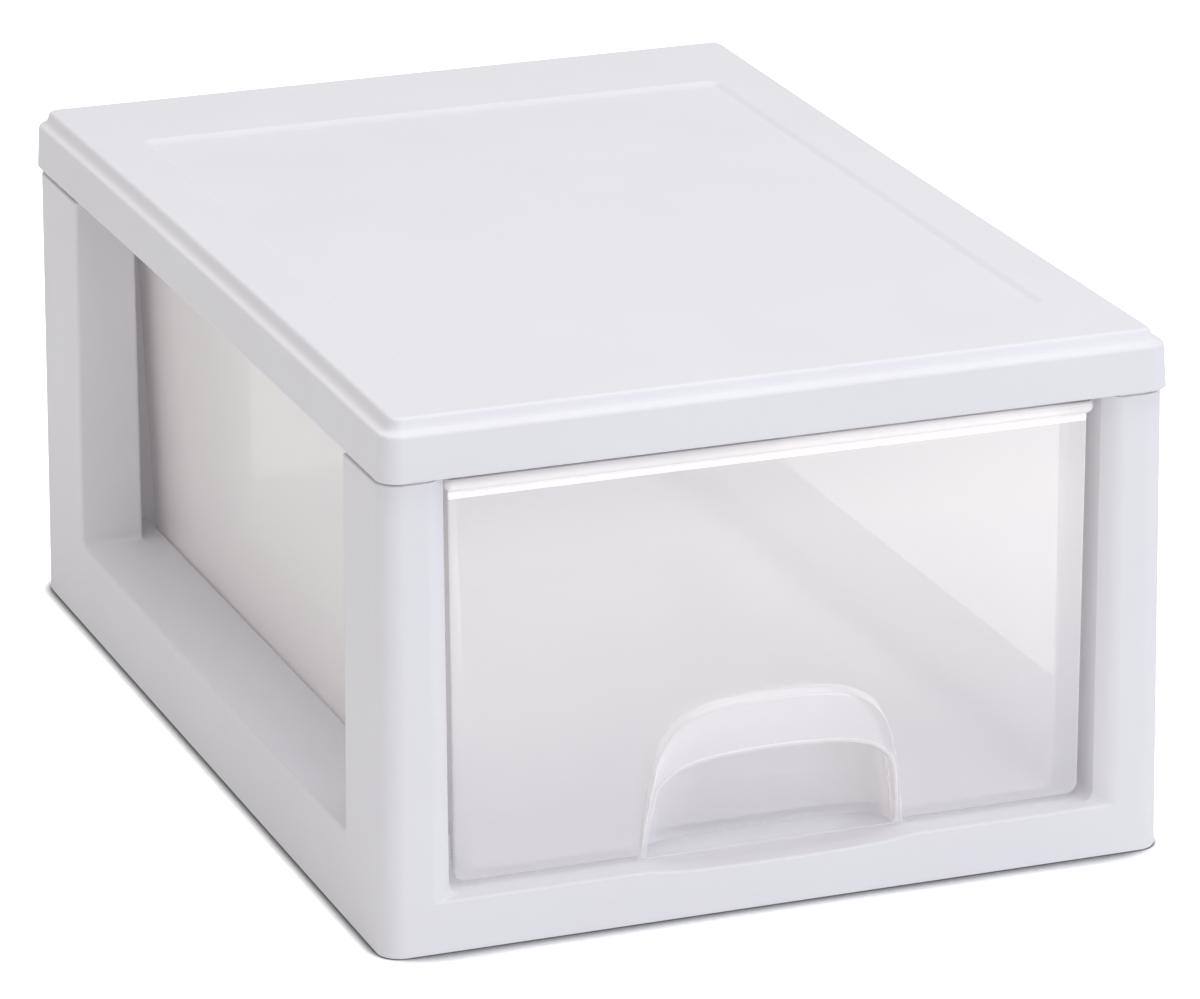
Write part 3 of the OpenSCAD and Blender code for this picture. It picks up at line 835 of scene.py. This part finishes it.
def smooth_arch(points, steps=9):
    """A smooth arch through a few points of its right half, mirrored to the left."""
    line = [(-x, z) for x, z in reversed(points[:-1])]
    path = points + line
    out = []
    for i in range(len(path) - 1):
        p0, p1 = path[max(i - 1, 0)], path[i]
        p2, p3 = path[i + 1], path[min(i + 2, len(path) - 1)]
        for k in range(steps):
            t = k / steps
            out.append(tuple(0.5 * (2 * b + (c - a) * t + (2 * a - 5 * b + 4 * c - d) * t * t
                                    + (3 * b - a - 3 * c + d) * t ** 3)
                             for a, b, c, d in zip(p0, p1, p2, p3)))
    return out + [path[-1]]


OUTER_ARCH = [(43.6, PULL_FOOT), (42.0, 33.0), (39.0, 49.0), (36.2, 56.0), (31.6, 61.5), (23.0, 65.6),
              (11.0, 67.2), (0, 67.5)]
INNER_ARCH = [(41.2, PULL_FOOT), (40.3, 30.0), (38.9, 38.5), (37.2, 42.0), (32.5, 46.0), (23.0, 48.6),
              (11.0, 49.6), (0, 49.9)]


def blend_arches(a, b, t):
    return [(p[0] + (q[0] - p[0]) * t, p[1] + (q[1] - p[1]) * t) for p, q in zip(a, b)]


def toward(a, b, distance):
    """Moves an arch towards another one by a distance, but at most a third of the way."""
    out = []
    for (ax, az), (bx, bz) in zip(a, b):
        t = min(distance / math.hypot(bx - ax, bz - az), 0.33)
        out.append((ax + (bx - ax) * t, az + (bz - az) * t))
    return out


def inset_arch(outline, distance):
    """Moves an open arch towards its inside by a distance."""
    out = []
    for i, (x, z) in enumerate(outline):
        a, b = outline[max(i - 1, 0)], outline[min(i + 1, len(outline) - 1)]
        dx, dz = b[0] - a[0], b[1] - a[1]
        length = math.hypot(dx, dz)
        out.append((x - dz / length * distance, z + dx / length * distance))
    return out


def arch_solid(name, stations):
    """Lofts arches along Y; each is closed along its foot."""
    return loft(name, [[(x, y, z) for x, z in outline] for y, outline in stations])


def hood_solid():
    """The hood sinks back into the panel at its two feet."""
    rings = []
    for y, outline in hood_stations():
        out = PANEL_Y - y
        rings.append([(x, PANEL_Y - out * (0.15 + 0.85 * smooth((z - PULL_FOOT) / 24) if out > 0 else 1), z)
                      for x, z in outline])
    return loft("hood", rings)


def hood_stations():
    outer = smooth_arch(OUTER_ARCH)
    inner = inset_arch(smooth_arch(INNER_ARCH), -1.1)
    edge = inset_arch(smooth_arch(INNER_ARCH), -0.75)
    rim = inset_arch(smooth_arch(INNER_ARCH), -0.1)
    band = [(0.0, -0.7), (0.15, -0.35), (0.6, 0.0), (1.3, 0.3), (2.1, 0.75), (2.8, 1.3), (3.15, 1.9),
            (3.2, 2.4)]
    face = [(3.05, 0.35), (2.85, 0.5), (2.75, 0.7), (2.8, 0.9), (2.9, 1.0)]
    rings = [(out, toward(outer, inner, distance)) for out, distance in band]
    rings += [(out, blend_arches(outer, inner, t)) for out, t in face]
    stations = [(PANEL_Y + 1.0, rings[0][1])]
    stations += [(PANEL_Y - out, ring) for out, ring in rings]
    return stations + [(PANEL_Y - HOOD_OUT, edge), (PANEL_Y - HOOD_OUT - 0.02, rim)]


def pocket_stations(inset):
    """The pocket gets narrower and lower towards its back, like a bowl."""
    outer = inset_arch(smooth_arch(OUTER_ARCH), 0.7 + inset)
    depth = PANEL_Y + 0.5
    back = POCKET_BACK - inset
    stations = []
    for i in range(13):
        a = math.radians(90 * i / 12)
        shrink = (1 - math.cos(a)) ** POCKET_CURVE
        y = depth + (back - depth) * math.sin(a)
        stations.append((y, [(x * (1 - POCKET_NARROWS * shrink), z - (z - PULL_FOOT) * POCKET_SINKS * shrink)
                             for x, z in outer]))
    return stations


# %% Drawer: put together
def make_drawer():
    drawer = join(bin_solid(0, DRAWER_TOP, "drawer"), front_panel(), *rolled_lip())
    cut(drawer, bin_solid(DRAWER_WALL, DRAWER_TOP + 3, "in_bin"))
    join(drawer, hood_solid(), arch_solid("pocket", pocket_stations(0)))
    opening = smooth_arch(INNER_ARCH)
    cut(drawer, arch_solid("opening", [(PANEL_Y - 8, opening), (PANEL_Y + 1.5, opening)]))
    cut(drawer, arch_solid("in_pocket", pocket_stations(DRAWER_WALL)))
    return cut(drawer, block((-60, -190, 10), (60, PANEL_Y - 0.05, PANEL_FOOT)))


finish_piece(make_drawer(), CLEAR, "drawer", "clear_plastic", "drawer")

# %% [markdown]
# The table is pure white in the photograph, with only a narrow soft shadow where the box meets it. The
# floor is a plain white board. For what the camera sees directly its colour is lifted, so that open parts
# of it are white and only the darkest part of the shadow stays. That colour is also darkened by ambient
# occlusion close to the box, a painted contact shadow over the real one. The box itself is lit by the
# plain board.

# %% Floor
SHADOW_AHEAD = {"From Min": -0.183, "From Max": -0.185}
SHADOW_ACROSS = {"From Min": -0.148, "From Max": -0.136}
SHADOW_REACH = {"To Min": 0.0075, "To Max": 0.033}
SHADOW_CORE = {"From Min": 0.5, "From Max": 0.88, "To Min": 0.14, "To Max": 2.3}
FLOOR_HALF = 8


def background_rays(tree):
    """1 for rays that show the background: straight from the camera, or by way of clear plastic."""
    path = add_node(tree, "ShaderNodeLightPath").outputs
    return add_node(tree, "ShaderNodeMath", {0: path["Is Camera Ray"], 1: path["Is Transmission Ray"]},
                    operation="MAXIMUM")


def floor_material():
    """White board with a painted contact shadow from ambient occlusion, which reaches further in front of the
    box than at its left side.
    """
    material, tree = new_material("painted_white_board")
    place = add_node(tree, "ShaderNodeNewGeometry").outputs["Position"]
    axes = add_node(tree, "ShaderNodeSeparateXYZ", {"Vector": place}).outputs
    ahead = add_node(tree, "ShaderNodeMapRange", {"Value": axes["Y"], **SHADOW_AHEAD})
    across = add_node(tree, "ShaderNodeMapRange", {"Value": axes["X"], **SHADOW_ACROSS})
    in_front = add_node(tree, "ShaderNodeMath", {0: ahead, 1: across}, operation="MULTIPLY")
    reach = add_node(tree, "ShaderNodeMapRange", {"Value": in_front, **SHADOW_REACH})
    # Painted contact shadow: ambient occlusion darkens the floor colour close to the box.
    painted_contact_shade = add_node(tree, "ShaderNodeAmbientOcclusion", {"Distance": reach}).outputs["AO"]
    core = add_node(tree, "ShaderNodeMapRange", {"Value": painted_contact_shade, **SHADOW_CORE})
    plain = add_node(tree, "ShaderNodeBsdfDiffuse", {"Color": hex_colour("#FBFBFB")})
    lifted = add_node(tree, "ShaderNodeBsdfDiffuse", {"Color": core})
    seen = add_node(tree, "ShaderNodeMixShader", {0: background_rays(tree), 1: plain, 2: lifted})
    add_node(tree, "ShaderNodeOutputMaterial", {"Surface": seen})
    return material


floor_corners = [(x * FLOOR_HALF, y * FLOOR_HALF, 0) for x, y in ((-1, -1), (1, -1), (1, 1), (-1, 1))]
floor = mesh_object("floor", floor_corners, [(0, 1, 2, 3)])
floor.data.materials.append(floor_material())

# %% [markdown]
# The light is that of a white studio: a soft sky from everywhere, a large lamp overhead for the lid, a
# second one further away in front on the right, and a weak warm one on the left. The lid is lightest, the
# front a little darker and the left side darker still. The camera itself sees a pure white backdrop.

# %% World and lamps
def studio_world(strength):
    world = bpy.data.worlds.new("studio")
    bpy.context.scene.world = world
    world.use_nodes = True
    tree = world.node_tree
    tree.nodes.clear()
    soft = add_node(tree, "ShaderNodeBackground", {"Color": PLAIN_WHITE, "Strength": strength})
    white = add_node(tree, "ShaderNodeBackground", {"Color": PLAIN_WHITE, "Strength": 1.0})
    seen = add_node(tree, "ShaderNodeMixShader", {0: background_rays(tree), 1: soft, 2: white})
    add_node(tree, "ShaderNodeOutputWorld", {"Surface": seen})


def lamp(name, place, target, size, power, colour):
    light = bpy.data.lights.new(name, "AREA")
    light.shape = "SQUARE"
    light.size = size
    light.energy = power
    light.color = hex_colour(colour)[:3]
    obj = bpy.data.objects.new(name, light)
    bpy.context.scene.collection.objects.link(obj)
    obj.location = place
    obj.rotation_mode = "QUATERNION"
    obj.rotation_quaternion = (Vector(place) - Vector(target)).to_track_quat("Z", "Y")
    print("Lamp:", name, power, "W")


studio_world(0.45)
lamp("overhead", (0.2, -0.35, 2.3), (0, 0, 0.1), 2.0, 28, "#FAFBFF")
lamp("left", (-1.6, 0.6, 0.7), (0, 0, 0.1), 0.6, 0.9, "#FFF8F2")
lamp("front", (1.5, -2.5, 1.34), (0, -0.1, 0.08), 1.05, 19.5, "#E3ECFF")
